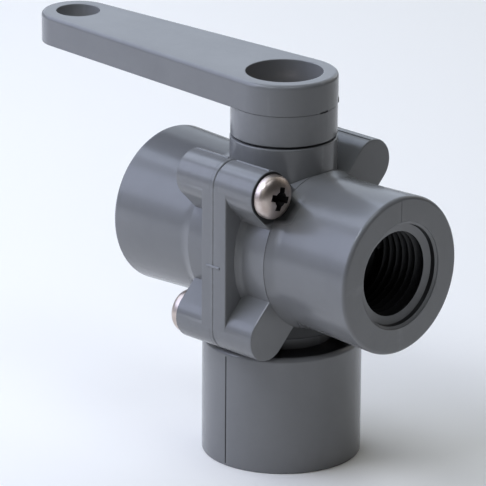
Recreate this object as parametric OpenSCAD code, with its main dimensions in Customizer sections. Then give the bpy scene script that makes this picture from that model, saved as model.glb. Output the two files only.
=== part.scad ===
// Three-way ball valve: two like end halves bolted over a centre body,
// with a bottom port, an L-bored ball, its stem and a lever handle.
// Origin at the centre of the bottom port's face, +Z up the stem,
// +X along the run, -Y towards the seam edge that faces the viewer.

/* [Body] */
// Height of the run's axis above the bottom port's face
axis_h = 47.7; // [44:0.1:60]
// Length of the run, from mouth to mouth
run_len = 69; // [66:0.5:84]
// Diameter of each barrel at its mouth
mouth_d = 34.5; // [34:0.1:38]
// Diameter of each barrel beside its flange
barrel_d = 33; // [32:0.1:35]
// Width of the flare where a barrel meets the round body
barrel_flare = 0.45; // [0.2:0.05:0.8]
// Length of that flare
flare_len = 1.7; // [1:0.1:3]
// Diameter of the round body beside the flange
body_d = 34.9; // [34:0.1:37]
// Radius of the rounded rim of each mouth
mouth_round = 0.9; // [0.4:0.1:1.5]
// Radius of the fillet between the round body and the flange
flange_fillet = 1.6; // [0.8:0.1:2]

/* [Flange and bosses] */
// Thickness of each half of the flange
flange_t = 3.6; // [3:0.1:5]
// Distance between neighbouring boss centres
boss_pitch = 31.6; // [31:0.1:36]
// Diameter of each screw boss
boss_d = 10.6; // [10.2:0.1:13]
// Height of each boss above the seam
boss_len = 11.3; // [10:0.1:12.2]
// Bevel on each boss where the two halves meet
seam_bevel = 0.25; // [0.1:0.05:0.5]

/* [Neck and bottom port] */
// Diameter of the neck under the handle
neck_d = 23.1; // [21:0.1:23.3]
// Height of the neck above the tops of the bosses
neck_rise = 2.25; // [1:0.05:6]
// Diameter of the bottom port
port_d = 34.4; // [33.5:0.1:37]
// Gap between the bosses and the top of the bottom port
port_gap = 0.4; // [0.3:0.05:1.5]
// Radius of the rounded top edge of the bottom port
port_round = 1; // [0.5:0.1:1.5]
// Diameter of the waist between the body and the bottom port
waist_d = 22; // [20.5:0.1:23]
// Diameter of the collar that the halves form round the waist
collar_d = 27.3; // [26:0.1:32]
// Depth of the collar's lower edge below the run's axis
collar_drop = 18.5; // [17.5:0.1:20]

/* [Threaded ports] */
// Diameter of the counterbore in each mouth
mouth_bore_d = 23.3; // [22.5:0.1:25]
// Depth of the counterbore in each mouth
mouth_bore_depth = 2.2; // [1:0.1:3]
// Diameter inside the crests of the pipe thread
thread_d = 18.32; // [17.5:0.01:19.5]
// Length of the threaded wall
thread_len = 14; // [11:0.5:15]
// Diameter of the flow passage
passage_d = 12; // [10:0.1:12.4]
// Length of the cone between the thread and the passage
throat_len = 1.8; // [1:0.1:2]

/* [Ball and seats] */
// Diameter of the ball
ball_d = 20; // [19.6:0.1:20.4]
// Space between the ball and the chamber wall
ball_space = 0.5; // [0.4:0.05:0.9]
// Space between the ball and the seats
seat_space = 0.1; // [0.05:0.01:0.2]
// Thickness of each seat
seat_t = 3.2; // [2.8:0.1:3.5]
// Distance from the ball's centre to the front of each seat
seat_front = 7.5; // [7.45:0.05:7.8]
// Cord diameter of the rings behind the seats
seat_ring_cord = 1.2; // [1:0.05:1.25]
// Cord diameter of the rings between the centre body and the halves
body_ring_cord = 1.5; // [1.2:0.05:1.6]
// Wall of the centre body round the ball
chamber_wall = 2.8; // [2.6:0.05:3.1]
// Distance from the back of a side seat's pocket to the end of the centre body
pocket_gap = 0.7; // [0.5:0.05:1.2]
// Loose fit between pieces that do not move
fit = 0.1; // [0.05:0.01:0.15]

/* [Stem] */
// Diameter of the stem
stem_d = 9; // [8.6:0.1:9.6]
// Running clearance round the stem
stem_space = 0.05; // [0.02:0.01:0.1]
// Diameter of the collar that holds the stem in
stem_collar_d = 12.8; // [12:0.1:13.4]
// Thickness of the stem's collar
stem_collar_t = 1.6; // [1.2:0.1:2]
// Thickness of the washer above the stem's collar
stem_washer_t = 0.8; // [0.5:0.05:1.2]
// Width of the key that turns the ball
key_w = 4; // [3:0.1:5]
// Length of the key that turns the ball
key_len = 8.4; // [7.5:0.1:8.8]
// Depth of the key in the ball
key_depth = 2.4; // [2:0.1:2.7]
// Cord diameter of the stem's rings
stem_ring_cord = 1.4; // [1.2:0.05:1.6]
// Distance between the stem's two rings
stem_ring_pitch = 3.5; // [2.6:0.1:4]
// Width across the flats that drive the handle
drive_w = 6.6; // [6:0.1:7.5]

/* [Handle] */
// Gap between the neck and the handle's hub
handle_gap = 0.46; // [0.3:0.02:1]
// Height of the hub below the lever
hub_skirt = 6.85; // [6:0.05:12]
// Thickness of the lever
lever_t = 6.75; // [6.5:0.05:10]
// Distance from the stem to the hole in the lever's end
lever_len = 63.5; // [50:0.5:90]
// Diameter of the lever's round end
lever_tip_d = 16.1; // [14:0.1:20]
// Diameter of the hole in the lever's end
lever_hole_d = 9.5; // [6:0.1:11]
// Diameter of the well in the top of the hub
well_d = 16.5; // [15:0.1:18]
// Thickness of the hub's floor under the well
hub_floor = 5.6; // [4:0.1:6.5]
// Diameter of the stop pin under the hub
stop_d = 2; // [1.6:0.1:2.2]
// Distance of the stop pin from the stem's axis
stop_r = 8.4; // [8:0.1:8.8]
// Height of the stop pin below the hub
stop_len = 2.2; // [1.2:0.1:2.6]
// Turn of the handle between its stops
handle_turn = 180; // [90:5:180]

/* [Screws] */
// Diameter of a body screw's head
head_d = 9.5; // [8:0.1:10.2]
// Height of a body screw's head
head_h = 3.4; // [2.6:0.1:4]
// Diameter of a body screw's shank
shank_d = 4.8; // [4:0.1:5.4]
// Diameter of a body screw at its thread's root
root_d = 4; // [3.2:0.1:4]
// Length of a body screw under its head
screw_len = 19; // [16:0.5:20]
// Diameter of the handle screw's head
cap_head_d = 8; // [7:0.1:9]
// Height of the handle screw's head
cap_head_h = 2.6; // [2:0.1:2.8]
// Diameter of the handle screw's shank
cap_shank_d = 3.8; // [3:0.1:4.2]
// Length of the handle screw under its head
cap_screw_len = 9; // [7:0.5:10]
// Diameter of the handle screw's washer
cap_washer_d = 13.4; // [11:0.1:14]
// Thickness of the handle screw's washer
cap_washer_t = 1; // [0.6:0.1:1.2]

/* [Hidden] */
$fn = 96;
plastic = [0.47, 0.49, 0.53];
dark_plastic = [0.36, 0.38, 0.41];
steel = [0.62, 0.56, 0.52];
seat_white = [0.93, 0.93, 0.90];
ring_black = [0.10, 0.10, 0.11];
cut = 0.5;

half_run = run_len / 2;
mouth_r = mouth_d / 2;
body_r = body_d / 2;
boss_at = boss_pitch / 2;
boss_r = boss_d / 2;
boss_reach = boss_at + boss_r;
web_len = boss_at * sqrt(2);
ball_r = ball_d / 2;

// Places along each port, measured from the ball's centre
seat_back = seat_front + seat_t;
seat_floor = seat_back + seat_ring_cord;
nose_front = seat_front + fit;
chamber_end = seat_floor + pocket_gap;
pocket_end = chamber_end + fit;
chamber_r = ball_r + ball_space;
chamber_body_r = chamber_r + chamber_wall;
pocket_r = chamber_body_r + fit;
nose_r = chamber_r - 2 * fit;
passage_r = passage_d / 2;
body_ring_r = chamber_r + chamber_wall / 2;
body_groove_depth = body_ring_cord - fit / 2;
// The three seats stand square to one another, so each is narrower than its distance
seat_r = seat_front - fit;
seat_ring_r = (seat_r + passage_r) / 2;

// Heights above the ball's centre
neck_top = boss_reach + neck_rise;
port_top = boss_reach + port_gap;
port_h = axis_h - port_top;
collar_low = ball_r + 2 * fit;
collar_high = collar_low + stem_collar_t;
washer_low = collar_high + stem_space;
washer_high = washer_low + stem_washer_t;
stem_roof = washer_high + stem_space;
lower_ring_z = stem_roof + stem_ring_cord + fit;
upper_ring_z = lower_ring_z + stem_ring_pitch;
hub_low = neck_top + handle_gap;
lever_low = hub_low + hub_skirt;
lever_top = lever_low + lever_t;
well_floor = hub_low + hub_floor;
stem_top = well_floor - 2 * fit;
stop_groove_low = hub_low - stop_len - 3 * fit;
screw_tip = screw_len - boss_len;

// Faces that would just touch a round or a flat one lie this far inside it
side_inset = 0.03;
lever_lean = asin((neck_d - lever_tip_d) / 2 / lever_len);

module at_axis() {
    translate([0, 0, axis_h]) children();
}

module along_x() {
    rotate([0, 90, 0]) children();
}

module rounded_disc_profile(r, h, round_r) {
    polygon([[0, 0], [r, 0], [r, h - round_r], [r - round_r, h], [0, h]]);
    translate([r - round_r, h - round_r]) circle(round_r);
}

// Half of the round body with its fillet and its barrel, turned about the run
module barrel_profile() {
    square([body_r, boss_len - side_inset]);
    difference() {
        translate([body_r, flange_t]) square(flange_fillet);
        translate([body_r + flange_fillet, flange_t + flange_fillet]) circle(flange_fillet);
    }
    polygon([[0, flange_t],
             [barrel_d / 2 + 1.5 * barrel_flare, boss_len - flare_len / 2],
             [barrel_d / 2, boss_len + flare_len],
             [mouth_r, half_run - mouth_round],
             [mouth_r - mouth_round, half_run],
             [0, half_run]]);
    translate([mouth_r - mouth_round, half_run - mouth_round]) circle(mouth_round);
}

// One threaded port cut from its mouth inwards, along +Z with the mouth at reach
module port_cut(reach) {
    bore_floor = reach - mouth_bore_depth;
    thread_floor = bore_floor - thread_len;
    throat_floor = thread_floor - throat_len;
    translate([0, 0, bore_floor]) cylinder(d = mouth_bore_d, h = mouth_bore_depth + cut);
    translate([0, 0, thread_floor]) cylinder(d = thread_d, h = thread_len + cut);
    translate([0, 0, throat_floor]) cylinder(d1 = passage_d, d2 = thread_d, h = throat_len);
    cylinder(d = passage_d, h = throat_floor + cut);
}

module at_bosses() {
    for (y = [-boss_at, boss_at], z = [-boss_at, boss_at])
        translate([0, y, z]) children();
}

// The bevel at the foot of a boss, where the two halves meet
module boss_foot() {
    along_x() cylinder(r1 = boss_r - seam_bevel, r2 = boss_r, h = seam_bevel);
}

module flange() {
    reach = boss_reach - side_inset;
    translate([0, -reach, -boss_at]) cube([flange_t, 2 * reach, boss_pitch]);
}

// The bosses with the webs that tie them to the round body, as one flat-ended shape
module bosses_and_webs() {
    web_w = boss_d - 2 * side_inset;
    along_x() translate([0, 0, seam_bevel]) linear_extrude(boss_len - seam_bevel) {
        for (y = [-boss_at, boss_at], z = [-boss_at, boss_at])
            translate([z, y]) circle(r = boss_r);
        for (turn = [45, 135])
            rotate(turn) square([2 * web_len, web_w], center = true);
    }
}

// Clear holes for the two screws that enter here, pilot holes for the other two
module screw_holes() {
    for (side = [-1, 1]) {
        translate([-cut, side * boss_at, -side * boss_at])
            along_x() cylinder(d = shank_d + 4 * fit, h = boss_len + 2 * cut);
        translate([-cut, side * boss_at, side * boss_at])
            along_x() cylinder(d = root_d + fit, h = screw_tip + 2 * cut);
    }
}

// The sleeve that reaches into the chamber and holds a seat
module seat_sleeve() {
    along_x() difference() {
        translate([0, 0, nose_front]) cylinder(r = nose_r, h = pocket_end - nose_front + cut);
        cylinder(r = seat_r + fit, h = seat_floor);
        cylinder(d = passage_d, h = pocket_end + 2 * cut);
    }
}

// The half on the +X side, about the ball's centre
module end_half() {
    seat_sleeve();
    difference() {
        union() {
            flange();
            at_bosses() boss_foot();
            bosses_and_webs();
            along_x() rotate_extrude() barrel_profile();
            intersection() {
                translate([0, 0, -collar_drop]) cylinder(d = collar_d, h = collar_drop);
                translate([0, -collar_d, -body_d]) cube([collar_d, 2 * collar_d, body_d]);
            }
        }
        along_x() translate([0, 0, -cut]) cylinder(r = pocket_r, h = pocket_end + cut);
        cylinder(d = neck_d + 2 * fit, h = neck_top + cut);
        translate([0, 0, -port_top]) cylinder(d = waist_d + 2 * fit, h = port_top);
        along_x() port_cut(half_run);
        screw_holes();
    }
}

module right_end() {
    color(plastic) at_axis() end_half();
}

module left_end() {
    color(plastic) at_axis() rotate([0, 0, 180]) end_half();
}

// Groove in the neck's top that the stop pin runs in
module stop_groove() {
    groove_w = stop_d + 4 * fit;
    groove_h = neck_top - stop_groove_low + cut;
    translate([0, 0, stop_groove_low]) {
        rotate([0, 0, 180]) rotate_extrude(angle = handle_turn)
            translate([stop_r - groove_w / 2, 0]) square([groove_w, groove_h]);
        for (turn = [0, handle_turn])
            rotate([0, 0, 180 + turn]) translate([stop_r, 0, 0]) cylinder(d = groove_w, h = groove_h);
    }
}

module body_ring_groove() {
    translate([0, 0, chamber_end - body_groove_depth]) difference() {
        cylinder(r = body_ring_r + body_ring_cord / 2, h = body_groove_depth + cut);
        translate([0, 0, -cut]) cylinder(r = body_ring_r - body_ring_cord / 2, h = body_groove_depth + 3 * cut);
    }
}

module centre_body() {
    color(dark_plastic) at_axis() difference() {
        union() {
            along_x() translate([0, 0, -chamber_end]) cylinder(r = chamber_body_r, h = 2 * chamber_end);
            cylinder(d = neck_d, h = neck_top);
            translate([0, 0, -port_top - cut]) cylinder(d = waist_d, h = port_top + cut);
            translate([0, 0, -axis_h]) rotate_extrude()
                rounded_disc_profile(port_d / 2, port_h, port_round);
        }
        along_x() translate([0, 0, -chamber_end - cut]) cylinder(r = chamber_r, h = 2 * (chamber_end + cut));
        for (turn = [0, 180])
            rotate([0, 0, turn]) along_x() body_ring_groove();
        translate([0, 0, -seat_floor]) cylinder(r = seat_r + fit, h = seat_floor);
        rotate([180, 0, 0]) port_cut(axis_h);
        cylinder(d = stem_collar_d + 4 * fit, h = stem_roof);
        cylinder(d = stem_d + 2 * stem_space, h = neck_top + cut);
        stop_groove();
    }
}

// The ball's bore turns from the bottom port to the outlet that the lever points at
module ball() {
    color(plastic) at_axis() difference() {
        sphere(r = ball_r);
        translate([0, 0, -ball_r - cut]) cylinder(d = passage_d, h = ball_r + cut + passage_r / 2);
        rotate([0, -90, 0]) cylinder(d = passage_d, h = ball_r + cut);
        translate([-key_w / 2 - fit, -ball_r, ball_r - key_depth - fit])
            cube([key_w + 2 * fit, ball_d, key_depth + cut]);
    }
}

module stem_ring_groove(z) {
    groove_w = stem_ring_cord + 2 * fit;
    translate([0, 0, z - groove_w / 2]) difference() {
        cylinder(d = stem_d + cut, h = groove_w);
        translate([0, 0, -cut]) cylinder(d = stem_d - 2 * stem_ring_cord, h = groove_w + 2 * cut);
    }
}

// A round shape with two flats, standing on z = 0
module drive_shape(width, round_d, h) {
    intersection() {
        cylinder(d = round_d, h = h);
        translate([-round_d, -width / 2, 0]) cube([2 * round_d, width, h]);
    }
}

module stem() {
    color(dark_plastic) at_axis() difference() {
        union() {
            translate([-key_w / 2, -key_len / 2, ball_r - key_depth])
                cube([key_w, key_len, key_depth + 3 * fit]);
            translate([0, 0, collar_low]) cylinder(d = stem_collar_d, h = stem_collar_t);
            translate([0, 0, collar_low]) cylinder(d = stem_d, h = neck_top - collar_low);
            translate([0, 0, neck_top - cut]) drive_shape(drive_w, stem_d, stem_top - neck_top + cut);
        }
        stem_ring_groove(lower_ring_z);
        stem_ring_groove(upper_ring_z);
        translate([0, 0, well_floor + cap_washer_t - cap_screw_len - cut])
            cylinder(d = cap_shank_d + fit, h = cap_screw_len + cut);
    }
}

// A seat that faces the ball from above, along +Z
module seat() {
    difference() {
        translate([0, 0, seat_front]) cylinder(r = seat_r, h = seat_t);
        cylinder(d = passage_d, h = seat_back + cut);
        sphere(r = ball_r + seat_space);
    }
}

module right_seat() {
    color(seat_white) at_axis() rotate([0, 90, 0]) seat();
}

module left_seat() {
    color(seat_white) at_axis() rotate([0, -90, 0]) seat();
}

module bottom_seat() {
    color(seat_white) at_axis() rotate([180, 0, 0]) seat();
}

module cord_ring(ring_r, cord_d) {
    rotate_extrude() translate([ring_r, 0]) circle(d = cord_d);
}

module seat_ring() {
    translate([0, 0, seat_back + seat_ring_cord / 2])
        cord_ring(seat_ring_r, seat_ring_cord - fit / 2);
}

module right_seat_ring() {
    color(ring_black) at_axis() rotate([0, 90, 0]) seat_ring();
}

module left_seat_ring() {
    color(ring_black) at_axis() rotate([0, -90, 0]) seat_ring();
}

module bottom_seat_ring() {
    color(ring_black) at_axis() rotate([180, 0, 0]) seat_ring();
}

module body_ring() {
    translate([0, 0, pocket_end - fit / 2 - body_ring_cord / 2])
        cord_ring(body_ring_r, body_ring_cord - fit / 2);
}

module right_body_ring() {
    color(ring_black) at_axis() rotate([0, 90, 0]) body_ring();
}

module left_body_ring() {
    color(ring_black) at_axis() rotate([0, -90, 0]) body_ring();
}

module stem_ring(z) {
    translate([0, 0, z]) cord_ring(stem_d / 2 - stem_ring_cord / 2, stem_ring_cord - fit / 2);
}

module upper_stem_ring() {
    color(ring_black) at_axis() stem_ring(upper_ring_z);
}

module lower_stem_ring() {
    color(ring_black) at_axis() stem_ring(lower_ring_z);
}

module stem_washer() {
    color(seat_white) at_axis() translate([0, 0, washer_low]) difference() {
        cylinder(d = stem_collar_d, h = stem_washer_t);
        translate([0, 0, -cut]) cylinder(d = stem_d + 2 * fit, h = stem_washer_t + 2 * cut);
    }
}

// The end of a straight side, on the round end of this radius
function side_end(r) = let (at = r - side_inset) [-at * sin(lever_lean), at * cos(lever_lean)];

// The lever between its round ends, seen from above
module lever_web() {
    hub_side = side_end(neck_d / 2);
    tip_side = side_end(lever_tip_d / 2);
    polygon([hub_side, [hub_side.x, -hub_side.y],
             [tip_side.x - lever_len, -tip_side.y], [tip_side.x - lever_len, tip_side.y]]);
}

module handle() {
    color(plastic) at_axis() difference() {
        union() {
            translate([0, 0, hub_low]) cylinder(d = neck_d, h = hub_skirt + lever_t);
            translate([-lever_len, 0, lever_low]) cylinder(d = lever_tip_d, h = lever_t);
            translate([0, 0, lever_low]) linear_extrude(lever_t) lever_web();
            translate([-stop_r, 0, hub_low - stop_len]) cylinder(d = stop_d, h = stop_len + cut);
        }
        translate([0, 0, well_floor]) cylinder(d = well_d, h = lever_top - well_floor + cut);
        translate([-lever_len, 0, lever_low - cut]) cylinder(d = lever_hole_d, h = lever_t + 2 * cut);
        translate([0, 0, hub_low - cut])
            drive_shape(drive_w + 2 * fit, stem_d + 2 * fit, hub_floor + 2 * cut);
    }
}

module cross_recess(length, width, depth) {
    for (turn = [0, 90])
        rotate([0, 0, turn]) translate([0, 0, -depth / 2 + cut / 2])
            cube([length, width, depth + cut], center = true);
}

// A low domed head standing on z = 0
module domed_head(head_dia, height) {
    rim = height / 3;
    dome = height - rim;
    dome_r = (pow(head_dia / 2, 2) + dome * dome) / (2 * dome);
    cylinder(d = head_dia, h = rim);
    translate([0, 0, rim]) intersection() {
        cylinder(d = head_dia, h = dome);
        translate([0, 0, dome - dome_r]) sphere(r = dome_r);
    }
}

// A body screw that enters from +X through the boss at y, z
module body_screw(y, z) {
    translate([0, y, z]) along_x() difference() {
        union() {
            translate([0, 0, boss_len]) domed_head(head_d, head_h);
            translate([0, 0, fit]) cylinder(d = shank_d, h = boss_len);
            translate([0, 0, -screw_tip]) cylinder(d = root_d, h = screw_len);
        }
        translate([0, 0, boss_len + head_h]) rotate([0, 0, -25])
            cross_recess(0.55 * head_d, 0.14 * head_d, 0.6 * head_h);
    }
}

module front_upper_screw() {
    color(steel) at_axis() body_screw(-boss_at, boss_at);
}

module rear_lower_screw() {
    color(steel) at_axis() body_screw(boss_at, -boss_at);
}

module front_lower_screw() {
    color(steel) at_axis() rotate([0, 0, 180]) body_screw(boss_at, -boss_at);
}

module rear_upper_screw() {
    color(steel) at_axis() rotate([0, 0, 180]) body_screw(-boss_at, boss_at);
}

module handle_washer() {
    color(steel) at_axis() translate([0, 0, well_floor]) difference() {
        cylinder(d = cap_washer_d, h = cap_washer_t);
        translate([0, 0, -cut]) cylinder(d = cap_shank_d + 4 * fit, h = cap_washer_t + 2 * cut);
    }
}

module handle_screw() {
    color(steel) at_axis() translate([0, 0, well_floor + cap_washer_t]) difference() {
        union() {
            domed_head(cap_head_d, cap_head_h);
            translate([0, 0, -cap_screw_len]) cylinder(d = cap_shank_d, h = cap_screw_len + fit);
        }
        translate([0, 0, cap_head_h]) cross_recess(0.55 * cap_head_d, 0.14 * cap_head_d, 0.6 * cap_head_h);
    }
}

right_end();
left_end();
centre_body();
ball();
stem();
right_seat();
left_seat();
bottom_seat();
right_seat_ring();
left_seat_ring();
bottom_seat_ring();
right_body_ring();
left_body_ring();
upper_stem_ring();
lower_stem_ring();
stem_washer();
handle();
handle_screw();
handle_washer();
front_upper_screw();
rear_lower_screw();
front_lower_screw();
rear_upper_screw();
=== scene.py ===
import math

import bmesh
import bpy
from mathutils import Matrix, Vector


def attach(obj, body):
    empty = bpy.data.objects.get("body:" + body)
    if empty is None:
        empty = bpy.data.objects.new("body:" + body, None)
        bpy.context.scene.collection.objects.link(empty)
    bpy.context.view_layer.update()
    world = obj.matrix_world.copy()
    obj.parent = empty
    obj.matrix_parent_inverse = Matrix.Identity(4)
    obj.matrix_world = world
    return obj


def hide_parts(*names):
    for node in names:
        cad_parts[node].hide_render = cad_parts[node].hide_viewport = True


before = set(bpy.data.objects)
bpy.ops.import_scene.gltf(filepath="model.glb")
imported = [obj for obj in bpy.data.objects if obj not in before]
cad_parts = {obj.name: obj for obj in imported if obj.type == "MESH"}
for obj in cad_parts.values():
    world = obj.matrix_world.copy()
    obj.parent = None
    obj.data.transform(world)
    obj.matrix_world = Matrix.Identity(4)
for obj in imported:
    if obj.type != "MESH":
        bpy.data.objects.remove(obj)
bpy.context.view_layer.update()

mm = 0.001
BODY, HANDLE = "valve_body", "handle_and_ball"

# Sizes of the moulding, in metres, the same as the solids have
axis_z = 47.7 * mm
heart = Vector((0, 0, axis_z))
half_run = 34.5 * mm
body_r = 17.45 * mm
barrel_r = 16.5 * mm
mouth_r = 17.25 * mm
chamber_r = 13.3 * mm
seat_r = 7.5 * mm
throat_r = 6 * mm
boss_at = 15.8 * mm
boss_r = 5.3 * mm
boss_end = 11.3 * mm
flange_t = 3.6 * mm
neck_r = 11.55 * mm
waist_r = 11 * mm
collar_r = 13.65 * mm
collar_drop = 18.5 * mm
port_r = 17.2 * mm
thread_crest_r = 9.16 * mm
thread_deep = 16.2 * mm
hub_low = axis_z + 23.81 * mm
well_floor = hub_low + 5.6 * mm
well_r = 8.25 * mm
lever_low = hub_low + 6.85 * mm
lever_top = lever_low + 6.75 * mm
lever_len = 63.5 * mm
tip_r = 8.05 * mm
tip_hole_r = 4.75 * mm

# Screws: head radius, head height, shank radius and length
body_screw = (4.75 * mm, 3.4 * mm, 2.03 * mm, 19.5 * mm)
hub_screw = (4 * mm, 2.6 * mm, 1.45 * mm, 9 * mm)
# How much of a pan head's height its straight rim takes, and how full its crown is
rim_share, fullness = 0.36, 0.8

# What only this script makes: the wound thread, and the fine line down the bottom port
thread_root_r = 10.5 * mm
thread_pitch = 1.814 * mm
thread_turns = 6.7
mould_line_x = 0.11 * mm

# How near a turned outline comes to its axis
near_axis = 0.02 * mm


def deselect():
    if bpy.context.object and bpy.context.object.mode != "OBJECT":
        bpy.ops.object.mode_set(mode="OBJECT")
    bpy.ops.object.select_all(action="DESELECT")


def pick(piece):
    deselect()
    piece.select_set(True)
    bpy.context.view_layer.objects.active = piece
    return piece


def named(name):
    """Names the piece just added and puts its place into its mesh."""
    piece = pick(bpy.context.object)
    bpy.ops.object.transform_apply(location=True, rotation=True, scale=True)
    piece.name = piece.data.name = name
    return piece


def rod(name, start, end, radius, end_radius=None, sides=128):
    """A round bar between two points, or a cone where it has an end radius of its own."""
    start, end = Vector(start), Vector(end)
    middle, reach = (start + end) / 2, end - start
    turn = reach.to_track_quat("Z", "Y").to_euler()
    deselect()
    bpy.ops.mesh.primitive_cone_add(
        vertices=sides, radius1=radius, radius2=radius if end_radius is None else end_radius,
        depth=reach.length, location=middle, rotation=turn)
    return named(name)


def block(name, low, high):
    low, high = Vector(low), Vector(high)
    deselect()
    bpy.ops.mesh.primitive_cube_add(size=1, location=(low + high) / 2, scale=high - low)
    return named(name)


def joined(name, *parts):
    pick(parts[0])
    for part in parts:
        part.select_set(True)
    bpy.ops.object.join()
    bpy.context.object.name = bpy.context.object.data.name = name
    return bpy.context.object


def shrunk_round(name, *parts):
    """The tight skin round some bars, as a moulding with flat sides between round ends."""
    skin = joined(name, *parts)
    bpy.ops.object.mode_set(mode="EDIT")
    bpy.ops.mesh.select_all(action="SELECT")
    bpy.ops.mesh.convex_hull()
    bpy.ops.mesh.select_all(action="SELECT")
    bpy.ops.mesh.dissolve_limited(angle_limit=math.radians(0.5))
    bpy.ops.mesh.normals_make_consistent(inside=False)
    bpy.ops.object.mode_set(mode="OBJECT")
    return skin


def outlined(name, points):
    """A closed line through some points, left open for editing with all of it picked."""
    deselect()
    bpy.ops.mesh.primitive_plane_add(size=mm, location=points[0])
    piece = named(name)
    bpy.ops.object.mode_set(mode="EDIT")
    bpy.ops.mesh.select_all(action="SELECT")
    bpy.ops.mesh.merge(type="CENTER")
    for here, there in zip(points, points[1:]):
        step = Vector(there) - Vector(here)
        bpy.ops.mesh.extrude_region_move(TRANSFORM_OT_translate={"value": step})
    bpy.ops.mesh.select_all(action="DESELECT")
    shape = bmesh.from_edit_mesh(piece.data)
    for vert in shape.verts:
        vert.select = len(vert.link_edges) < 2
    bmesh.update_edit_mesh(piece.data)
    bpy.ops.mesh.edge_face_add()
    bpy.ops.mesh.select_all(action="SELECT")
    return piece


def slab(name, outline, low, high):
    """A plate of this (y, z) outline between two places along the run."""
    piece = outlined(name, [(low, y, z) for y, z in outline])
    bpy.ops.mesh.edge_face_add()
    bpy.ops.mesh.extrude_region_move(TRANSFORM_OT_translate={"value": (high - low, 0, 0)})
    bpy.ops.mesh.select_all(action="SELECT")
    bpy.ops.mesh.normals_make_consistent(inside=False)
    bpy.ops.object.mode_set(mode="OBJECT")
    return piece


def turned(name, outline, centre, along, sides=128, sweep=360, start=None):
    """Spins a closed outline of (distance along, radius) points about a line through centre."""
    centre, along = Vector(centre), Vector(along)
    across = (0, 0, 1) if abs(along.z) < 0.5 else (1, 0, 0)
    out = Vector(start or across)
    piece = outlined(name, [centre + along * a + out * r for a, r in outline])
    bpy.ops.mesh.spin(steps=sides, angle=math.radians(sweep), center=centre, axis=along)
    bpy.ops.mesh.select_all(action="SELECT")
    bpy.ops.mesh.remove_doubles(threshold=0.0005 * mm)
    if sweep < 360:
        bpy.ops.mesh.fill_holes(sides=0)
        bpy.ops.mesh.select_all(action="SELECT")
    bpy.ops.mesh.normals_make_consistent(inside=False)
    bpy.ops.object.mode_set(mode="OBJECT")
    return piece


def combine(piece, other, how):
    """Adds another piece to this one, or cuts its shape out of it."""
    pick(piece)
    step = piece.modifiers.new(how, "BOOLEAN")
    step.operation, step.solver, step.object = how, "EXACT", other
    bpy.ops.object.modifier_apply(modifier=step.name)
    bpy.data.objects.remove(other)
    return piece


def add_on(piece, *others):
    for other in others:
        combine(piece, other, "UNION")
    return piece


def cut_out(piece, *others):
    for other in others:
        combine(piece, other, "DIFFERENCE")
    return piece


def cleaned(piece):
    """Takes out the crumbs that a cut leaves on flat faces."""
    pick(piece)
    bpy.ops.object.mode_set(mode="EDIT")
    bpy.ops.mesh.select_all(action="SELECT")
    bpy.ops.mesh.remove_doubles(threshold=0.004 * mm)
    bpy.ops.mesh.dissolve_degenerate(threshold=0.004 * mm)
    bpy.ops.mesh.select_all(action="SELECT")
    bpy.ops.mesh.dissolve_limited(angle_limit=math.radians(0.4))
    bpy.ops.object.mode_set(mode="OBJECT")
    return piece


def rounded_edges(piece, width, where, steps=2):
    """Rounds the sharp edges whose middle is where the piece should be soft."""
    sharp = math.radians(38)
    pick(piece)
    bpy.ops.object.mode_set(mode="EDIT")
    bpy.ops.mesh.select_mode(type="EDGE")
    bpy.ops.mesh.select_all(action="DESELECT")
    shape = bmesh.from_edit_mesh(piece.data)
    for edge in shape.edges:
        middle = (edge.verts[0].co + edge.verts[1].co) / 2
        if len(edge.link_faces) == 2 and edge.calc_face_angle() > sharp and where(middle):
            edge.select_set(True)
    bmesh.update_edit_mesh(piece.data)
    bpy.ops.mesh.bevel(offset=width, segments=steps, affect="EDGES", clamp_overlap=False)
    bpy.ops.mesh.select_mode(type="VERT")
    bpy.ops.object.mode_set(mode="OBJECT")
    return piece


def smoothed(piece):
    """Smooth shading between sharp edges, in which the large flat faces stay flat."""
    pick(piece)
    bpy.ops.object.shade_smooth_by_angle(angle=math.radians(32))
    step = piece.modifiers.new("flats", "WEIGHTED_NORMAL")
    step.keep_sharp, step.weight = True, 70
    bpy.ops.object.modifier_apply(modifier=step.name)
    return piece


def turned_half(piece):
    """Turns a piece half a turn about the stem."""
    pick(piece)
    bpy.ops.object.mode_set(mode="EDIT")
    bpy.ops.mesh.select_all(action="SELECT")
    bpy.ops.transform.rotate(value=math.pi, orient_axis="Z", center_override=(0, 0, 0))
    bpy.ops.object.mode_set(mode="OBJECT")
    return piece


def copy_of(piece, name):
    pick(piece)
    bpy.ops.object.duplicate()
    bpy.context.object.name = bpy.context.object.data.name = name
    return bpy.context.object


def fit_out(piece, body, slot, finish, *nodes):
    """Gives a finished piece its body, its finish and the nodes that it stands for."""
    piece.data.materials.clear()
    piece.data.materials.append(finish)
    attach(piece, body)
    if nodes:
        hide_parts(*nodes)
    return piece


def arc(centre, radius, start, end, steps=6):
    """Points of a round corner, angles in degrees from the outline's first direction to its second."""
    points = []
    for i in range(steps + 1):
        angle = math.radians(start + (end - start) * i / steps)
        points.append((centre[0] + radius * math.cos(angle), centre[1] + radius * math.sin(angle)))
    return points


def port_outline(mouth):
    """The inside of a threaded port from its mouth inwards: step, counterbore, shoulder, thread, throat."""
    return [(mouth, 11.8 * mm), (mouth - 0.1 * mm, 11.7 * mm), (mouth - 0.3 * mm, 11.68 * mm),
            (mouth - 0.6 * mm, 11.14 * mm), (mouth - 1.5 * mm, 10.93 * mm), (mouth - 2 * mm, 9.2 * mm),
            (mouth - 2.25 * mm, 9.2 * mm), (mouth - 2.9 * mm, thread_root_r),
            (mouth - thread_deep, thread_root_r), (mouth - thread_deep, thread_crest_r),
            (mouth - 18 * mm, throat_r)]


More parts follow.
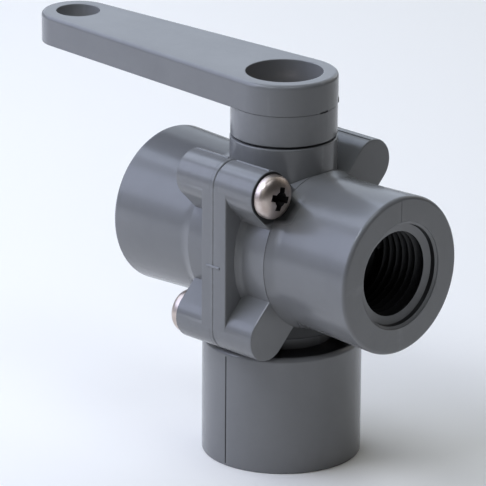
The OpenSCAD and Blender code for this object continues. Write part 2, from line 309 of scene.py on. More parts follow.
def darkened(piece, dark, where):
    """Gives the dark finish of painted shade to the faces where shade gathers."""
    slot = len(piece.data.materials)
    piece.data.materials.append(dark)
    pick(piece)
    bpy.ops.object.mode_set(mode="EDIT")
    shape = bmesh.from_edit_mesh(piece.data)
    for face in shape.faces:
        if where(face.calc_center_median(), face.normal):
            face.material_index = slot
    bmesh.update_edit_mesh(piece.data)
    bpy.ops.object.mode_set(mode="OBJECT")
    return piece


def mouth_of(outward):
    """How far from the heart the port that faces this way has its mouth."""
    return axis_z if outward[2] else half_run


def in_port(spot, outward):
    """Whether a place is on a port's counterbore wall, thread or throat."""
    spot = spot - heart
    reach = spot.dot(Vector(outward))
    deep = mouth_of(outward) - reach
    radius = (spot - Vector(outward) * reach).length
    in_counterbore = radius < 11.12 * mm and 0.7 * mm < deep < 1.4 * mm
    in_thread = radius < 10.7 * mm and 2.1 * mm < deep < 25 * mm
    return in_counterbore or in_thread


def in_waist_gap(spot, facing):
    """Whether a face is in the narrow gap between the run and the bottom port, or on the collar there."""
    out, drop = math.hypot(spot.x, spot.y), axis_z - spot.z
    in_gap = 17.6 * mm < drop < 21.6 * mm
    on_collar = out > 13.4 * mm and drop > 9 * mm and abs(facing.z) < 0.1
    return out < 13.8 * mm and (in_gap or on_collar)


def in_mould_line(spot):
    """Whether a place is in the fine line down the bottom port."""
    below_skin = port_r - 0.3 * mm < abs(spot.y) < port_r - 0.02 * mm
    return below_skin and abs(spot.x - mould_line_x) < 0.2 * mm and spot.z < 25.5 * mm


def in_painted_shade(spot, facing, ports):
    """Whether a face of the grey plastic is painted nearly black for the shade that falls there."""
    return in_waist_gap(spot, facing) or in_mould_line(spot) or any(in_port(spot, port) for port in ports)


def flange_outline(out_y, radius):
    """The flange seen along the run: four boss rounds, joined down the sides and across the middle."""
    points = []
    for y, z, start, end in ((-1, -1, 0, -180), (-1, 1, 180, 0), (1, 1, 180, 0), (1, -1, 0, -180)):
        points += arc((y * out_y, axis_z + z * boss_at), radius, start, end, steps=40)
    return points


def end_half(name):
    """The half on the +X side: round body and barrel, flange, four bosses and their webs."""
    corners = [(y, axis_z + z) for y in (-boss_at, boss_at) for z in (-boss_at, boss_at)]
    # The flange's rim stands back a little at the seam, most of all round the bosses
    rim_x = 0.12 * mm
    half = slab(name, flange_outline(boss_at, boss_r - 0.02 * mm), rim_x, flange_t)
    rounded_edges(half, 0.16 * mm, lambda p: abs(p.x - rim_x) < 0.01 * mm, steps=1)
    rounded_edges(half, 0.3 * mm, lambda p: abs(p.x - flange_t) < 0.01 * mm)
    add_on(half, slab("seam_face", flange_outline(boss_at + 0.22 * mm, boss_r - 0.4 * mm), 0, 1 * mm))
    pocket_r = chamber_r + 0.1 * mm
    cut_out(half, rod("pocket", (-1 * mm, 0, axis_z), (12.7 * mm, 0, axis_z), pocket_r))
    for ends in ((corners[0], corners[3]), (corners[1], corners[2])):
        arm = shrunk_round("arm", *[rod("boss", (1.2 * mm, y, z), (boss_end, y, z), boss_r, sides=96)
                                    for y, z in ends])
        rounded_edges(arm, 0.35 * mm, lambda p: abs(p.x - boss_end) < 0.01 * mm)
        cut_out(arm, rod("middle", (-1 * mm, 0, axis_z), (14 * mm, 0, axis_z), 15 * mm))
        add_on(half, arm)
    # The skin from the flange to the mouth, then the port, the seat's sleeve and the pocket's wall
    step_x = 11.27 * mm
    mouth_round = 0.9 * mm
    outline = ([(1.5 * mm, 13.9 * mm), (1.5 * mm, 18.9 * mm)]
               + arc((5.2 * mm, body_r + 1.6 * mm), 1.6 * mm, 200, 270)
               + [(step_x, body_r), (step_x, body_r - 0.12 * mm),
                  (12.8 * mm, 16.9 * mm), (14.8 * mm, barrel_r)]
               + arc((half_run - mouth_round, mouth_r - mouth_round), mouth_round, 90, 0)
               + port_outline(half_run)
               + [(11.9 * mm, throat_r), (11.9 * mm, seat_r), (7.6 * mm, seat_r), (7.6 * mm, 10.3 * mm),
                  (12.7 * mm, 10.3 * mm), (12.7 * mm, pocket_r), (4.5 * mm, pocket_r), (4.5 * mm, 13.9 * mm)])
    # Half of the collar under the run, hollow where the chamber goes
    collar = rod("collar", (0, 0, axis_z - collar_drop), (0, 0, axis_z - 1 * mm), collar_r, sides=126)
    rounded_edges(collar, 0.5 * mm, lambda p: p.z < axis_z - collar_drop + 0.5 * mm)
    cut_out(collar, block("behind", (-20 * mm, -20 * mm, 20 * mm), (0.03 * mm, 20 * mm, 60 * mm)),
            rod("hollow", (-1 * mm, 0, axis_z), (14.2 * mm, 0, axis_z), 14.5 * mm, sides=100))
    add_on(half, collar, turned("barrel", outline, heart, (1, 0, 0)))
    # Room for the neck and the waist, which leaves the seat's sleeve whole
    near_waist, near_neck = waist_r + 0.1 * mm, neck_r + 0.1 * mm
    room = turned("room", [(-23 * mm, near_axis), (-23 * mm, near_waist), (-1 * mm, near_waist),
                           (-1 * mm, near_neck), (24 * mm, near_neck), (24 * mm, near_axis)],
                  heart, (0, 0, 1), sides=126)
    cut_out(room, rod("sleeve", (5 * mm, 0, axis_z), (14 * mm, 0, axis_z), 11 * mm))
    cut_out(half, room)
    clearance_hole, pilot_hole = (12 * mm, 2.6 * mm), (8.2 * mm, 2.05 * mm)
    for y, z in corners:
        deep, radius = clearance_hole if y * (z - axis_z) < 0 else pilot_hole
        cut_out(half, rod("screw_hole", (-1 * mm, y, z), (deep, y, z), radius, sides=48))
    # Marks of the mould: a knit line at the mouth, ridges on the upper bosses, a scar over the seam
    cut_out(half, block("knit", (half_run - 0.1 * mm, -0.08 * mm, axis_z + 11.5 * mm),
                        (half_run + 0.5 * mm, 0.08 * mm, axis_z + 16.7 * mm)))
    marks = []
    for side in (-1, 1):
        ridge_y, ridge_z = side * 15.3 * mm, axis_z + 21 * mm
        scar_y, scar_z = side * 21.02 * mm, axis_z - 1.5 * mm
        marks.append(rod("ridge", (1.3 * mm, ridge_y, ridge_z), (10.8 * mm, ridge_y, ridge_z), 0.27 * mm,
                         sides=12))
        marks.append(rod("scar", (0, scar_y, scar_z), (1.9 * mm, scar_y, scar_z), 0.31 * mm, sides=12))
    return joined(name, half, *marks)


def centre_piece(name):
    """The middle moulding: chamber, neck, waist and bottom port."""
    port_top, neck_top, soft = 21.5 * mm, 23.35 * mm, 0.3 * mm
    port = ([(8 * mm, waist_r), (port_top, waist_r)]
            + arc((port_top + 1 * mm, port_r - 1 * mm), 1 * mm, 180, 90)
            + arc((axis_z - soft, port_r - soft), soft, 90, 0, steps=3)
            + port_outline(axis_z) + [(11.9 * mm, throat_r), (11.9 * mm, seat_r), (8 * mm, seat_r)])
    neck = ([(0, 3 * mm), (0, neck_r)] + arc((neck_top - soft, neck_r - soft), soft, 90, 0, steps=3)
            + [(neck_top, 3 * mm)])
    body = turned(name, port, heart, (0, 0, -1))
    add_on(body, turned("neck", neck, heart, (0, 0, 1)),
           rod("chamber", (-12.6 * mm, 0, axis_z), (12.6 * mm, 0, axis_z), chamber_r))
    cut_out(body, rod("bore", (-14 * mm, 0, axis_z), (14 * mm, 0, axis_z), 10.5 * mm),
            rod("seat_room", (0, 0, axis_z - 11.9 * mm), (0, 0, axis_z - 5 * mm), seat_r),
            rod("collar_room", (0, 0, axis_z), (0, 0, axis_z + 12.7 * mm), 6.6 * mm),
            rod("stem_bore", (0, 0, axis_z), (0, 0, axis_z + 24 * mm), 4.55 * mm))
    groove = [(11.2 * mm, 11.15 * mm), (13 * mm, 11.15 * mm), (13 * mm, 12.65 * mm), (11.2 * mm, 12.65 * mm)]
    for side in (-1, 1):
        cut_out(body, turned("ring_groove", groove, heart, (side, 0, 0), sides=96))
    # The stop pin's groove, half a turn and a little more than the pin's own width
    stop = [(21.3 * mm, 7.2 * mm), (24 * mm, 7.2 * mm), (24 * mm, 9.6 * mm), (21.3 * mm, 9.6 * mm)]
    beyond = 8.2
    first = (-math.cos(math.radians(beyond)), math.sin(math.radians(beyond)), 0)
    cut_out(body, turned("stop_groove", stop, heart, (0, 0, 1), sides=64,
                         sweep=180 + 2 * beyond, start=first))
    for side in (-1, 1):
        line_y = side * (port_r + 0.07 * mm)
        cut_out(body, rod("mould_line", (mould_line_x, line_y, 0.6 * mm), (mould_line_x, line_y, 25 * mm),
                          0.19 * mm, sides=12))
    return body


def lever_handle(name):
    """Hub and lever, with the well over the stem, the hole at the tip and the stop pin."""
    lever = shrunk_round(name, rod("hub_end", (0, 0, lever_low), (0, 0, lever_top), neck_r),
                         rod("tip_end", (-lever_len, 0, lever_low), (-lever_len, 0, lever_top), tip_r))
    rounded_edges(lever, 0.95 * mm, lambda p: abs(p.z - lever_top) < 0.01 * mm, steps=5)
    rounded_edges(lever, 0.12 * mm, lambda p: abs(p.z - lever_low) < 0.01 * mm)
    hub = rod("hub", (0, 0, hub_low), (0, 0, lever_low + 2 * mm), neck_r - 0.1 * mm)
    rounded_edges(hub, 0.3 * mm, lambda p: abs(p.z - hub_low) < 0.01 * mm)
    add_on(lever, hub, rod("stop_pin", (-8.4 * mm, 0, hub_low - 2.2 * mm), (-8.4 * mm, 0, hub_low + 1 * mm),
                           1 * mm, sides=32))
    cut_out(lever, rod("well", (0, 0, well_floor), (0, 0, lever_top + 1 * mm), well_r),
            rod("tip_hole", (-lever_len, 0, lever_low - 1 * mm), (-lever_len, 0, lever_top + 1 * mm),
                tip_hole_r, sides=96))
    flats = block("flats", (-6 * mm, -3.4 * mm, hub_low - 2 * mm), (6 * mm, 3.4 * mm, hub_low + 7 * mm))
    socket = rod("socket", (0, 0, hub_low - 1 * mm), (0, 0, hub_low + 6 * mm), 4.6 * mm)
    combine(socket, flats, "INTERSECT")
    # The moulding's gate: a short scar on the parting line and the stub beside it
    stub_way, stub_height = Vector((0.742, 0.67, 0)), Vector((0, 0, lever_low + 0.5 * mm))
    add_on(lever, rod("stub", stub_way * 10 * mm + stub_height, stub_way * (neck_r + 0.1 * mm) + stub_height,
                      0.6 * mm, sides=24))
    parting_low, parting_high, parting_r = lever_low - 0.13 * mm, lever_low - 0.05 * mm, neck_r - 0.2 * mm
    parting = [(parting_low, 13 * mm), (parting_low, parting_r),
               (parting_high, parting_r), (parting_high, 13 * mm)]
    cut_out(lever, turned("parting", parting, (0, 0, 0), (0, 0, 1), sides=126))
    cut_out(lever, socket, block("scar", (11.1 * mm, -0.8 * mm, lever_low - 0.27 * mm),
                                 (12 * mm, 1.6 * mm, lever_low + 0.25 * mm)))
    cleaned(lever)

    def on_hole(spot):
        from_well = math.hypot(spot.x, spot.y) - well_r
        from_tip_hole = math.hypot(spot.x + lever_len, spot.y) - tip_hole_r
        return spot.z > lever_low - 0.01 * mm and abs(min(from_well, from_tip_hole)) < 0.05 * mm

    return rounded_edges(lever, 0.3 * mm, on_hole)


def cross_slot(name, tip, outward, roll, length, width, depth):
    """The cutter for a cross recess: two blades that narrow with depth, and a pointed middle."""
    blades = []
    for turn in (0, 90):
        blade = block("blade", (-length / 2, -width / 2, -depth), (length / 2, width / 2, 1 * mm))
        bpy.ops.object.mode_set(mode="EDIT")
        bpy.ops.mesh.select_all(action="DESELECT")
        shape = bmesh.from_edit_mesh(blade.data)
        for vert in shape.verts:
            vert.select = vert.co.z < 0
        bmesh.update_edit_mesh(blade.data)
        bpy.ops.transform.resize(value=(0.42, 0.6, 1), center_override=(0, 0, 0))
        bpy.ops.object.mode_set(mode="OBJECT")
        blade.rotation_euler = (0, 0, math.radians(turn + roll))
        blades.append(named("blade"))
    middle = rod("middle", (0, 0, -depth * 1.15), (0, 0, 0.9 * mm), width * 0.45, width * 1.15, sides=20)
    cutter = add_on(blades[0], blades[1], middle)
    cutter.rotation_euler = outward.to_track_quat("Z", "Y").to_euler()
    cutter.location = tip
    pick(cutter)
    return named(name)


def pan_screw(name, seat, outward, roll, head_r, head_h, shank_r, length):
    """A pan head on its shank, with a cross recess in the crown."""
    outward = Vector(outward)
    rim = head_h * rim_share
    crown = []
    for degrees in (0, 12, 26, 40, 54, 66, 76):
        angle = math.radians(degrees)
        crown.append((rim + (head_h - rim) * math.sin(angle), head_r * math.cos(angle) ** fullness))
    outline = ([(-length, near_axis), (-length, shank_r * 0.5), (-length + 1.2 * mm, shank_r), (0, shank_r),
                (0, head_r - 0.2 * mm), (0.15 * mm, head_r)] + crown + [(head_h, near_axis)])
    screw = turned(name, outline, seat, outward, sides=96)
    tip = Vector(seat) + outward * head_h
    cut_out(screw, cross_slot("slot", tip, outward, roll, head_r * 1.36, head_r * 0.36, head_h * 0.72))
    return smoothed(screw)


def in_recess(spot, seat, outward, head_r, head_h):
    """Whether a place is under a screw's crown, which only the recess's faces are."""
    spot = spot - Vector(seat)
    height = spot.dot(Vector(outward))
    out = (spot - Vector(outward) * height).length / head_r
    crown = head_h * (rim_share + (1 - rim_share) * math.sqrt(1 - min(1, out) ** (2 / fullness)))
    return out < 0.8 and 0.1 * mm < height < crown - 0.1 * mm


def thread_coil(name):
    """One length of pipe thread, wound along +Z from the origin, as it stands out of the port's wall."""
    buried, width = 0.1 * mm, 1.7 * mm
    height = thread_root_r + buried - thread_crest_r
    deselect()
    bpy.ops.mesh.primitive_plane_add(size=1, rotation=(math.pi / 2, 0, 0))
    bpy.context.object.scale = (height, width, 1)
    bpy.context.object.location = (thread_crest_r + height / 2, 0, width / 2)
    coil = named(name)
    bpy.ops.object.mode_set(mode="EDIT")
    bpy.ops.mesh.select_all(action="DESELECT")
    shape = bmesh.from_edit_mesh(coil.data)
    for vert in shape.verts:
        vert.select = vert.co.x < thread_root_r
    bmesh.update_edit_mesh(coil.data)
    bpy.ops.transform.resize(value=(1, 1, 0.12), center_override=(0, 0, width / 2))
    bpy.ops.object.mode_set(mode="OBJECT")
    step = coil.modifiers.new("wind", "SCREW")
    step.axis, step.angle, step.iterations = "Z", 2 * math.pi * thread_turns, 1
    step.screw_offset = thread_pitch * thread_turns
    step.steps = step.render_steps = int(72 * thread_turns)
    bpy.ops.object.modifier_apply(modifier=step.name)
    bpy.ops.object.mode_set(mode="EDIT")
    bpy.ops.mesh.select_all(action="SELECT")
    bpy.ops.mesh.remove_doubles(threshold=0.0005 * mm)
    bpy.ops.mesh.fill_holes(sides=4)
    bpy.ops.mesh.select_all(action="SELECT")
    bpy.ops.mesh.normals_make_consistent(inside=False)
    bpy.ops.object.mode_set(mode="OBJECT")
    return coil


def placed(piece, spot, outward):
    """Moves a piece made along +Z to its spot, pointing outward, and bakes it into its mesh."""
    pick(piece)
    piece.rotation_euler = Vector(outward).to_track_quat("Z", "Y").to_euler()
    piece.location = spot
    return named(piece.name)


# Finishes
def shared_effect(name, inputs, outputs):
    """A node group with named inputs (name, default) and outputs (name, kind)."""
    group = bpy.data.node_groups.new(name, "ShaderNodeTree")
    for label, value in inputs:
        socket = group.interface.new_socket(label, in_out="INPUT", socket_type="NodeSocketFloat")
        socket.default_value = value
    for label, kind in outputs:
        group.interface.new_socket(label, in_out="OUTPUT", socket_type=kind)
    return group, group.nodes.new("NodeGroupInput"), group.nodes.new("NodeGroupOutput")


def noise(tree, place, scale, detail=3, rough=0.5):
    node = tree.nodes.new("ShaderNodeTexNoise")
    node.inputs["Scale"].default_value = scale
    node.inputs["Detail"].default_value = detail
    node.inputs["Roughness"].default_value = rough
    tree.links.new(place, node.inputs["Vector"])
    return node.outputs["Fac"]


def maths(tree, how, first, second=0, clamp=False):
    node = tree.nodes.new("ShaderNodeMath")
    node.operation, node.use_clamp = how, clamp
    for socket, value in zip(node.inputs, (first, second)):
        if isinstance(value, (int, float)):
            socket.default_value = value
        else:
            tree.links.new(value, socket)
    return node.outputs[0]


def ranged(tree, value, from_low, from_high, to_low, to_high):
    node = tree.nodes.new("ShaderNodeMapRange")
    tree.links.new(value, node.inputs["Value"])
    for label, number in (("From Min", from_low), ("From Max", from_high),
                          ("To Min", to_low), ("To Max", to_high)):
        if isinstance(number, (int, float)):
            node.inputs[label].default_value = number
        else:
            tree.links.new(number, node.inputs[label])
    return node.outputs["Result"]


def moulded_skin():
    """Faint clouds, specks and the fine grain that moulded plastic has."""
    group, given, out = shared_effect(
        "moulded_skin", (("Cloud size", 90), ("Speck size", 1500), ("Grain size", 5200)),
        (("Cloud", "NodeSocketFloat"), ("Specks", "NodeSocketFloat"), ("Relief", "NodeSocketFloat")))
    where = group.nodes.new("ShaderNodeTexCoord").outputs["Object"]

    def layer(size, detail, rough=0.5):
        fac = noise(group, where, 1, detail, rough)
        group.links.new(given.outputs[size], fac.node.inputs["Scale"])
        return fac

    clouds = layer("Cloud size", 4, 0.6)
    cloud = ranged(group, clouds, 0.25, 0.75, 0, 1)
    specks = ranged(group, layer("Speck size", 2), 0.66, 0.74, 0, 1)
    relief = maths(group, "ADD", maths(group, "MULTIPLY", layer("Grain size", 2), 0.35),
                   maths(group, "MULTIPLY", clouds, 1.3))
    for label, value in (("Cloud", cloud), ("Specks", specks), ("Relief", relief)):
        group.links.new(value, out.inputs[label])
    return group


def edge_wear_and_crease_shade():
    """Lighter worn corners, and painted shade in the creases, from how the surface bends."""
    group, given, out = shared_effect(
        "edge_wear_and_crease_shade", (("Sharpness", 6),), (("Worn", "NodeSocketFloat"), ("Crease", "NodeSocketFloat")))
    bend = group.nodes.new("ShaderNodeNewGeometry").outputs["Pointiness"]
    where = group.nodes.new("ShaderNodeTexCoord").outputs["Object"]
    patches = noise(group, where, 700)
    worn = maths(group, "MULTIPLY", maths(group, "SUBTRACT", bend, 0.52), given.outputs["Sharpness"], True)
    worn = maths(group, "MULTIPLY", worn, ranged(group, patches, 0.35, 0.65, 0.3, 1))
    crease = maths(group, "MULTIPLY", maths(group, "SUBTRACT", 0.48, bend), given.outputs["Sharpness"], True)
    group.links.new(worn, out.inputs["Worn"])
    group.links.new(crease, out.inputs["Crease"])
    return group


def head_painted_shadow():
    """A mask of painted shadow, full close beside the four heads of the body screws, that fades away from
    them.
    """
    group, given, out = shared_effect("head_painted_shadow", (("Reach", 6.7 * mm),), (("Shade", "NodeSocketFloat"),))
    split = group.nodes.new("ShaderNodeSeparateXYZ")
    group.links.new(group.nodes.new("ShaderNodeTexCoord").outputs["Object"], split.inputs[0])
    x, y, z = split.outputs[0], split.outputs[1], maths(group, "SUBTRACT", split.outputs[2], axis_z)
    # A head stands only where this product is negative
    headed = maths(group, "LESS_THAN", maths(group, "MULTIPLY", maths(group, "MULTIPLY", x, y), z), 0)
    across = maths(group, "SUBTRACT", maths(group, "ABSOLUTE", y), boss_at)
    above = maths(group, "SUBTRACT", maths(group, "ABSOLUTE", z), boss_at)
    away = maths(group, "SQRT", maths(group, "ADD", maths(group, "MULTIPLY", across, across),
                                      maths(group, "MULTIPLY", above, above)))
    along = maths(group, "ABSOLUTE", x)
    shade = ranged(group, away, given.outputs["Reach"], 6 * mm, 0, 1)
    for none_at, full_at in ((10.95 * mm, 11.25 * mm), (15.5 * mm, 13.5 * mm)):
        shade = maths(group, "MULTIPLY", shade, ranged(group, along, none_at, full_at, 0, 1))
    group.links.new(maths(group, "MULTIPLY", shade, headed), out.inputs["Shade"])
    return group


skin_effect, wear_and_crease_shade_effect, painted_shadow_effect = moulded_skin(), edge_wear_and_crease_shade(), head_painted_shadow()


def placed_effect(tree, effect, **values):
    node = tree.nodes.new("ShaderNodeGroup")
    node.node_tree = effect
    for label, value in values.items():
        node.inputs[label.replace("_", " ")].default_value = value
    return node.outputs


def tint(tree, fac, low, high):
    """Two colours mixed by a mask; either may be another colour's socket."""
    node = tree.nodes.new("ShaderNodeMix")
    node.data_type = "RGBA"
    tree.links.new(fac, node.inputs[0])
    # A Mix node has its colours in sockets 6 and 7, and puts their mix out by socket 2
    for socket, value in ((node.inputs[6], low), (node.inputs[7], high)):
        if isinstance(value, tuple):
            socket.default_value = (*value, 1)
        else:
            tree.links.new(value, socket)
    return node.outputs[2]


def finish(name, roughness, metallic=0, specular=0.5):
    material = bpy.data.materials.new(name)
    material.use_nodes = True
    shader = material.node_tree.nodes["Principled BSDF"]
    shader.inputs["Roughness"].default_value = roughness
    shader.inputs["Metallic"].default_value = metallic
    shader.inputs["Specular IOR Level"].default_value = specular
    return material, material.node_tree, shader


def relief(tree, shader, height, distance, strength=1):
    bump = tree.nodes.new("ShaderNodeBump")
    bump.inputs["Distance"].default_value = distance
    bump.inputs["Strength"].default_value = strength
    tree.links.new(height, bump.inputs["Height"])
    tree.links.new(bump.outputs["Normal"], shader.inputs["Normal"])


def moulded_plastic(name, colour, pale, dark, roughness, cloud_size=90):
    """Satin moulded plastic: clouds, specks, pale worn edges, painted shade in creases, a faint waviness and
    a painted shadow by the screws.
    """
    material, tree, shader = finish(name, roughness)
    skin = placed_effect(tree, skin_effect, Cloud_size=cloud_size)
    wear_and_shade = placed_effect(tree, wear_and_crease_shade_effect, Sharpness=5)
    base = tint(tree, skin["Cloud"], dark, colour)
    base = tint(tree, maths(tree, "MULTIPLY", skin["Specks"], 0.35), base, dark)
    base = tint(tree, maths(tree, "MULTIPLY", wear_and_shade["Worn"], 0.35), base, pale)
    # Painted shade: the creases darkened towards a deep tone of the plastic
    base = tint(tree, maths(tree, "MULTIPLY", wear_and_shade["Crease"], 0.6), base, tuple(c * 0.35 for c in dark))
    # Painted shadow beside the screw heads: the plastic goes nearly black and rougher there
    shade = placed_effect(tree, painted_shadow_effect)["Shade"]
    base = tint(tree, maths(tree, "MULTIPLY", shade, 0.94), base, tuple(c * 0.06 for c in dark))
    tree.links.new(base, shader.inputs["Base Color"])
    rough = ranged(tree, skin["Cloud"], 0, 1, roughness + 0.03, roughness - 0.03)
    rough = maths(tree, "ADD", rough, maths(tree, "MULTIPLY", shade, 0.6))
    tree.links.new(rough, shader.inputs["Roughness"])
    relief(tree, shader, skin["Relief"], 0.02 * mm, 0.5)
    return material


grey = moulded_plastic("moulded_grey", (0.19, 0.192, 0.196), (0.32, 0.325, 0.335), (0.17, 0.172, 0.176), 0.23)
# Nearly black plastic: painted shade for the ports, the threads, the waist gap and the mould line
painted_shade_grey = moulded_plastic("painted_shade_plastic", (0.01, 0.01, 0.011), (0.04, 0.04, 0.045),
                            (0.005, 0.005, 0.006), 0.4)
white = moulded_plastic("seat_white", (0.84, 0.84, 0.8), (0.9, 0.9, 0.87), (0.76, 0.76, 0.71), 0.38, 400)


def cord_rubber():
    material, tree, shader = finish("ring_rubber", 0.55, specular=0.35)
    skin = placed_effect(tree, skin_effect, Cloud_size=500, Grain_size=9000)
    tree.links.new(tint(tree, skin["Cloud"], (0.008, 0.008, 0.009), (0.022, 0.022, 0.024)),
                   shader.inputs["Base Color"])
    tree.links.new(ranged(tree, skin["Specks"], 0, 1, 0.58, 0.42), shader.inputs["Roughness"])
    relief(tree, shader, skin["Relief"], 0.03 * mm)
    return material


def drawn_steel():
    """Plain stainless steel with fine forming marks and a warm cast."""
    material, tree, shader = finish("screw_stainless", 0.3, metallic=1)
    skin = placed_effect(tree, skin_effect, Cloud_size=420, Grain_size=7000)
    wear_and_shade = placed_effect(tree, wear_and_crease_shade_effect, Sharpness=4)
    base = tint(tree, skin["Cloud"], (0.47, 0.385, 0.34), (0.66, 0.58, 0.53))
    # Painted shade: the creases darkened nearly to black
    base = tint(tree, maths(tree, "MULTIPLY", wear_and_shade["Crease"], 0.8), base, (0.03, 0.027, 0.025))
    base = tint(tree, maths(tree, "MULTIPLY", wear_and_shade["Worn"], 0.5), base, (0.78, 0.72, 0.66))
    tree.links.new(base, shader.inputs["Base Color"])
    tree.links.new(ranged(tree, skin["Cloud"], 0, 1, 0.42, 0.32), shader.inputs["Roughness"])
    relief(tree, shader, skin["Relief"], 0.02 * mm, 0.6)
    return material


def recess_shade_steel():
    """The same steel inside a recess, painted nearly black for the shade there."""
    material, tree, shader = finish("recess_painted_shade", 0.6, metallic=0.6)
    skin = placed_effect(tree, skin_effect, Cloud_size=900)
    tree.links.new(tint(tree, skin["Cloud"], (0.004, 0.004, 0.004), (0.02, 0.017, 0.015)),
                   shader.inputs["Base Color"])
    relief(tree, shader, skin["Relief"], 0.03 * mm)
    return material


rubber, steel, recess_shade = cord_rubber(), drawn_steel(), recess_shade_steel()

# The moulded pieces
right_half = end_half("right_half")
left_half = turned_half(copy_of(right_half, "left_half"))
middle = centre_piece("middle_body")
lever = lever_handle("lever_handle")
for piece, body, node, ports in ((right_half, BODY, "right_end", [(1, 0, 0)]),
                                 (left_half, BODY, "left_end", [(-1, 0, 0)]),
                                 (middle, BODY, "centre_body", [(0, 0, -1)]), (lever, HANDLE, "handle", [])):
    fit_out(smoothed(piece), body, "body_plastic", grey, node)
    # Port insides, the waist gap and the mould line take the painted shade
    if ports:
        darkened(piece, painted_shade_grey, lambda p, facing: in_painted_shade(p, facing, ports))

# The threads in the three ports, modelled once and copied into each, in the nearly black plastic of painted
# shade
coil = thread_coil("coil")
for name, outward in (("thread_right", (1, 0, 0)), ("thread_left", (-1, 0, 0)),
                      ("thread_bottom", (0, 0, -1))):
    start = heart + Vector(outward) * (mouth_of(outward) - thread_deep - 0.05 * mm)
    piece = placed(copy_of(coil, name), start, outward)
    fit_out(smoothed(piece), BODY, "body_plastic", painted_shade_grey)
bpy.data.objects.remove(coil)


def fitted_screw(node, body, seat, outward, roll, size):
    """A steel pan screw that stands for its node, with painted shade in its recess."""
    screw = pan_screw("pan_" + node, seat, outward, roll, *size)
    fit_out(screw, body, "screw_steel", steel, node)
    return darkened(screw, recess_shade, lambda p, _: in_recess(p, seat, outward, *size[:2]))


# The screws: two enter from each side, and the fifth holds the handle on its washer
for name, side, y, z, roll in (("front_upper_screw", 1, -1, 1, 73), ("rear_lower_screw", 1, 1, -1, 70),
                               ("front_lower_screw", -1, -1, -1, 12), ("rear_upper_screw", -1, 1, 1, 50)):
    seat = (side * boss_end, y * boss_at, axis_z + z * boss_at)
    fitted_screw(name, BODY, seat, (side, 0, 0), roll, body_screw)
washer_t = 1 * mm
fitted_screw("handle_screw", HANDLE, (0, 0, well_floor + washer_t), (0, 0, 1), 20, hub_screw)
washer = turned("flat_washer", [(0, 1.85 * mm), (0, 6.55 * mm), (0.12 * mm, 6.7 * mm), (0.88 * mm, 6.7 * mm),
                                (washer_t, 6.55 * mm), (washer_t, 1.85 * mm)],
                (0, 0, well_floor), (0, 0, 1), sides=96)
fit_out(smoothed(washer), HANDLE, "screw_steel", steel, "handle_washer")

# Pieces of the solid model that keep their shape and take a finish
for names, made_of in ((("ball", "stem"), grey),
                       (("right_seat", "left_seat", "bottom_seat", "stem_washer"), white),
                       (("right_seat_ring", "left_seat_ring", "bottom_seat_ring", "right_body_ring",
                         "left_body_ring", "upper_stem_ring", "lower_stem_ring"), rubber)):
    for name in names:
        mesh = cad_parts[name].data
        mesh.materials.clear()
        mesh.materials.append(made_of)

# A plain pale floor
deselect()
bpy.ops.mesh.primitive_plane_add(size=3, location=(0, 0, 0))
floor = named("floor")
paper = bpy.data.materials.new("pale_paper")
paper.use_nodes = True
surface = paper.node_tree.nodes["Principled BSDF"].inputs
surface["Base Color"].default_value = (0.95, 0.92, 0.875, 1)
surface["Roughness"].default_value = 0.9
floor.data.materials.append(paper)


def soft_panel(name, azimuth, elevation, distance, size, glow):
    """A soft panel aimed at the valve; azimuth runs from -Y towards +X, and glow is red, green, blue."""
    around, up = math.radians(azimuth), math.radians(elevation)
    way = Vector((math.cos(up) * math.sin(around), -math.cos(up) * math.cos(around), math.sin(up)))
    deselect()
    bpy.ops.object.light_add(type="AREA", location=heart + distance * way)
    light = bpy.context.object
    light.name = name
    light.rotation_euler = way.to_track_quat("Z", "Y").to_euler()
    light.data.shape = "RECTANGLE"
    light.data.size, light.data.size_y = size
    most = max(glow)
    light.data.color = [part / most for part in glow]
    # The power that makes a panel of this size as bright as its glow says
    light.data.energy = math.pi * size[0] * size[1] * most


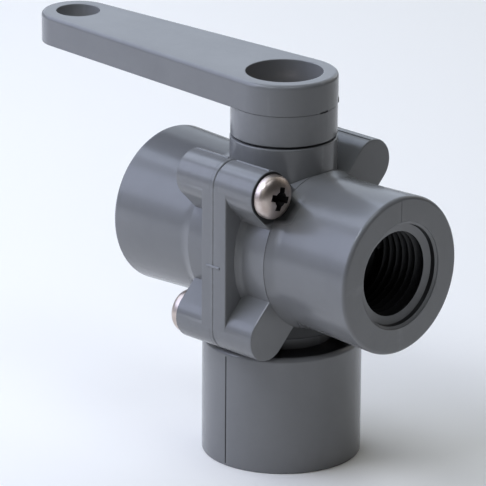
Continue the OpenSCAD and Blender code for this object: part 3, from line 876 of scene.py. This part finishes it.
for name, azimuth, elevation, distance, size, glow in (
        ("key_panel", -50, 27, 0.6, (0.5, 0.3), (1.8, 2.0, 2.7)),
        ("high_left", -104, 48, 0.6, (0.36, 0.26), (1.1, 1.3, 1.75)),
        ("high_middle", -60, 55, 0.6, (0.22, 0.16), (3.1, 3.5, 4.7)),
        ("high_front", -30, 55, 0.6, (0.22, 0.16), (5.6, 5.9, 6.9)),
        ("high_right", 0, 55, 0.6, (0.22, 0.16), (4.2, 4.6, 5.0)),
        ("top_right", 75, 70, 0.7, (0.3, 0.25), (2.4, 2.6, 2.8)),
        ("mid_front", -25, 24, 0.7, (0.24, 0.24), (1.7, 1.8, 2.05)),
        ("low_front", -35, 7, 0.7, (0.35, 0.1), (0.4, 0.43, 0.6)),
        ("side_left", -91, 33, 0.75, (0.3, 0.4), (1.6, 1.7, 1.85)),
        ("overhead", -92, 75, 0.8, (0.4, 0.35), (1.0, 1.05, 1.0)),
        ("back_left", -140, 22, 0.9, (1.3, 0.6), (0.9, 1.0, 1.15)),
        ("back_high", -150, 55, 0.9, (1, 0.4), (0.55, 0.58, 0.55)),
        ("back_right", 175, 25, 0.9, (0.7, 0.6), (0.45, 0.42, 0.38)),
        ("right_fill", 30, 32, 1.1, (0.8, 0.5), (0.35, 0.34, 0.32))):
    soft_panel(name, azimuth, elevation, distance, size, glow)

world = bpy.context.scene.world or bpy.data.worlds.new("studio")
bpy.context.scene.world = world
world.use_nodes = True
sky = world.node_tree.nodes["Background"].inputs
sky["Color"].default_value = (1, 1, 1, 1)
sky["Strength"].default_value = 0.035

# The camera, at the place that the photograph was taken from, with its focal length in pixels
photo_px, focal_px, sensor = 486, 4877.34, 36
roll = math.radians(0.38)
# The way back from the heart to it, and in millimetres how far off it stands and aims
back = Vector((0.66421, -0.67274, 0.32594)).normalized()
far, aim_right, aim_up = 1044.75, -8.527, -1.232
level = Vector((-back.y, back.x, 0)).normalized()
upright = back.cross(level)
right = level * math.cos(roll) + upright * math.sin(roll)
upward = back.cross(right)
deselect()
bpy.ops.object.camera_add()
camera = bpy.context.object
camera.data.sensor_width, camera.data.lens = sensor, focal_px * sensor / photo_px
camera.data.clip_start, camera.data.clip_end = 0.05, 20
target = heart + level * aim_right * mm + upright * aim_up * mm
turn = Matrix((right, upward, back)).transposed().to_4x4()
camera.matrix_world = Matrix.Translation(target + back * far * mm) @ turn
bpy.context.scene.camera = camera
bpy.context.scene.view_settings.view_transform = "Standard"
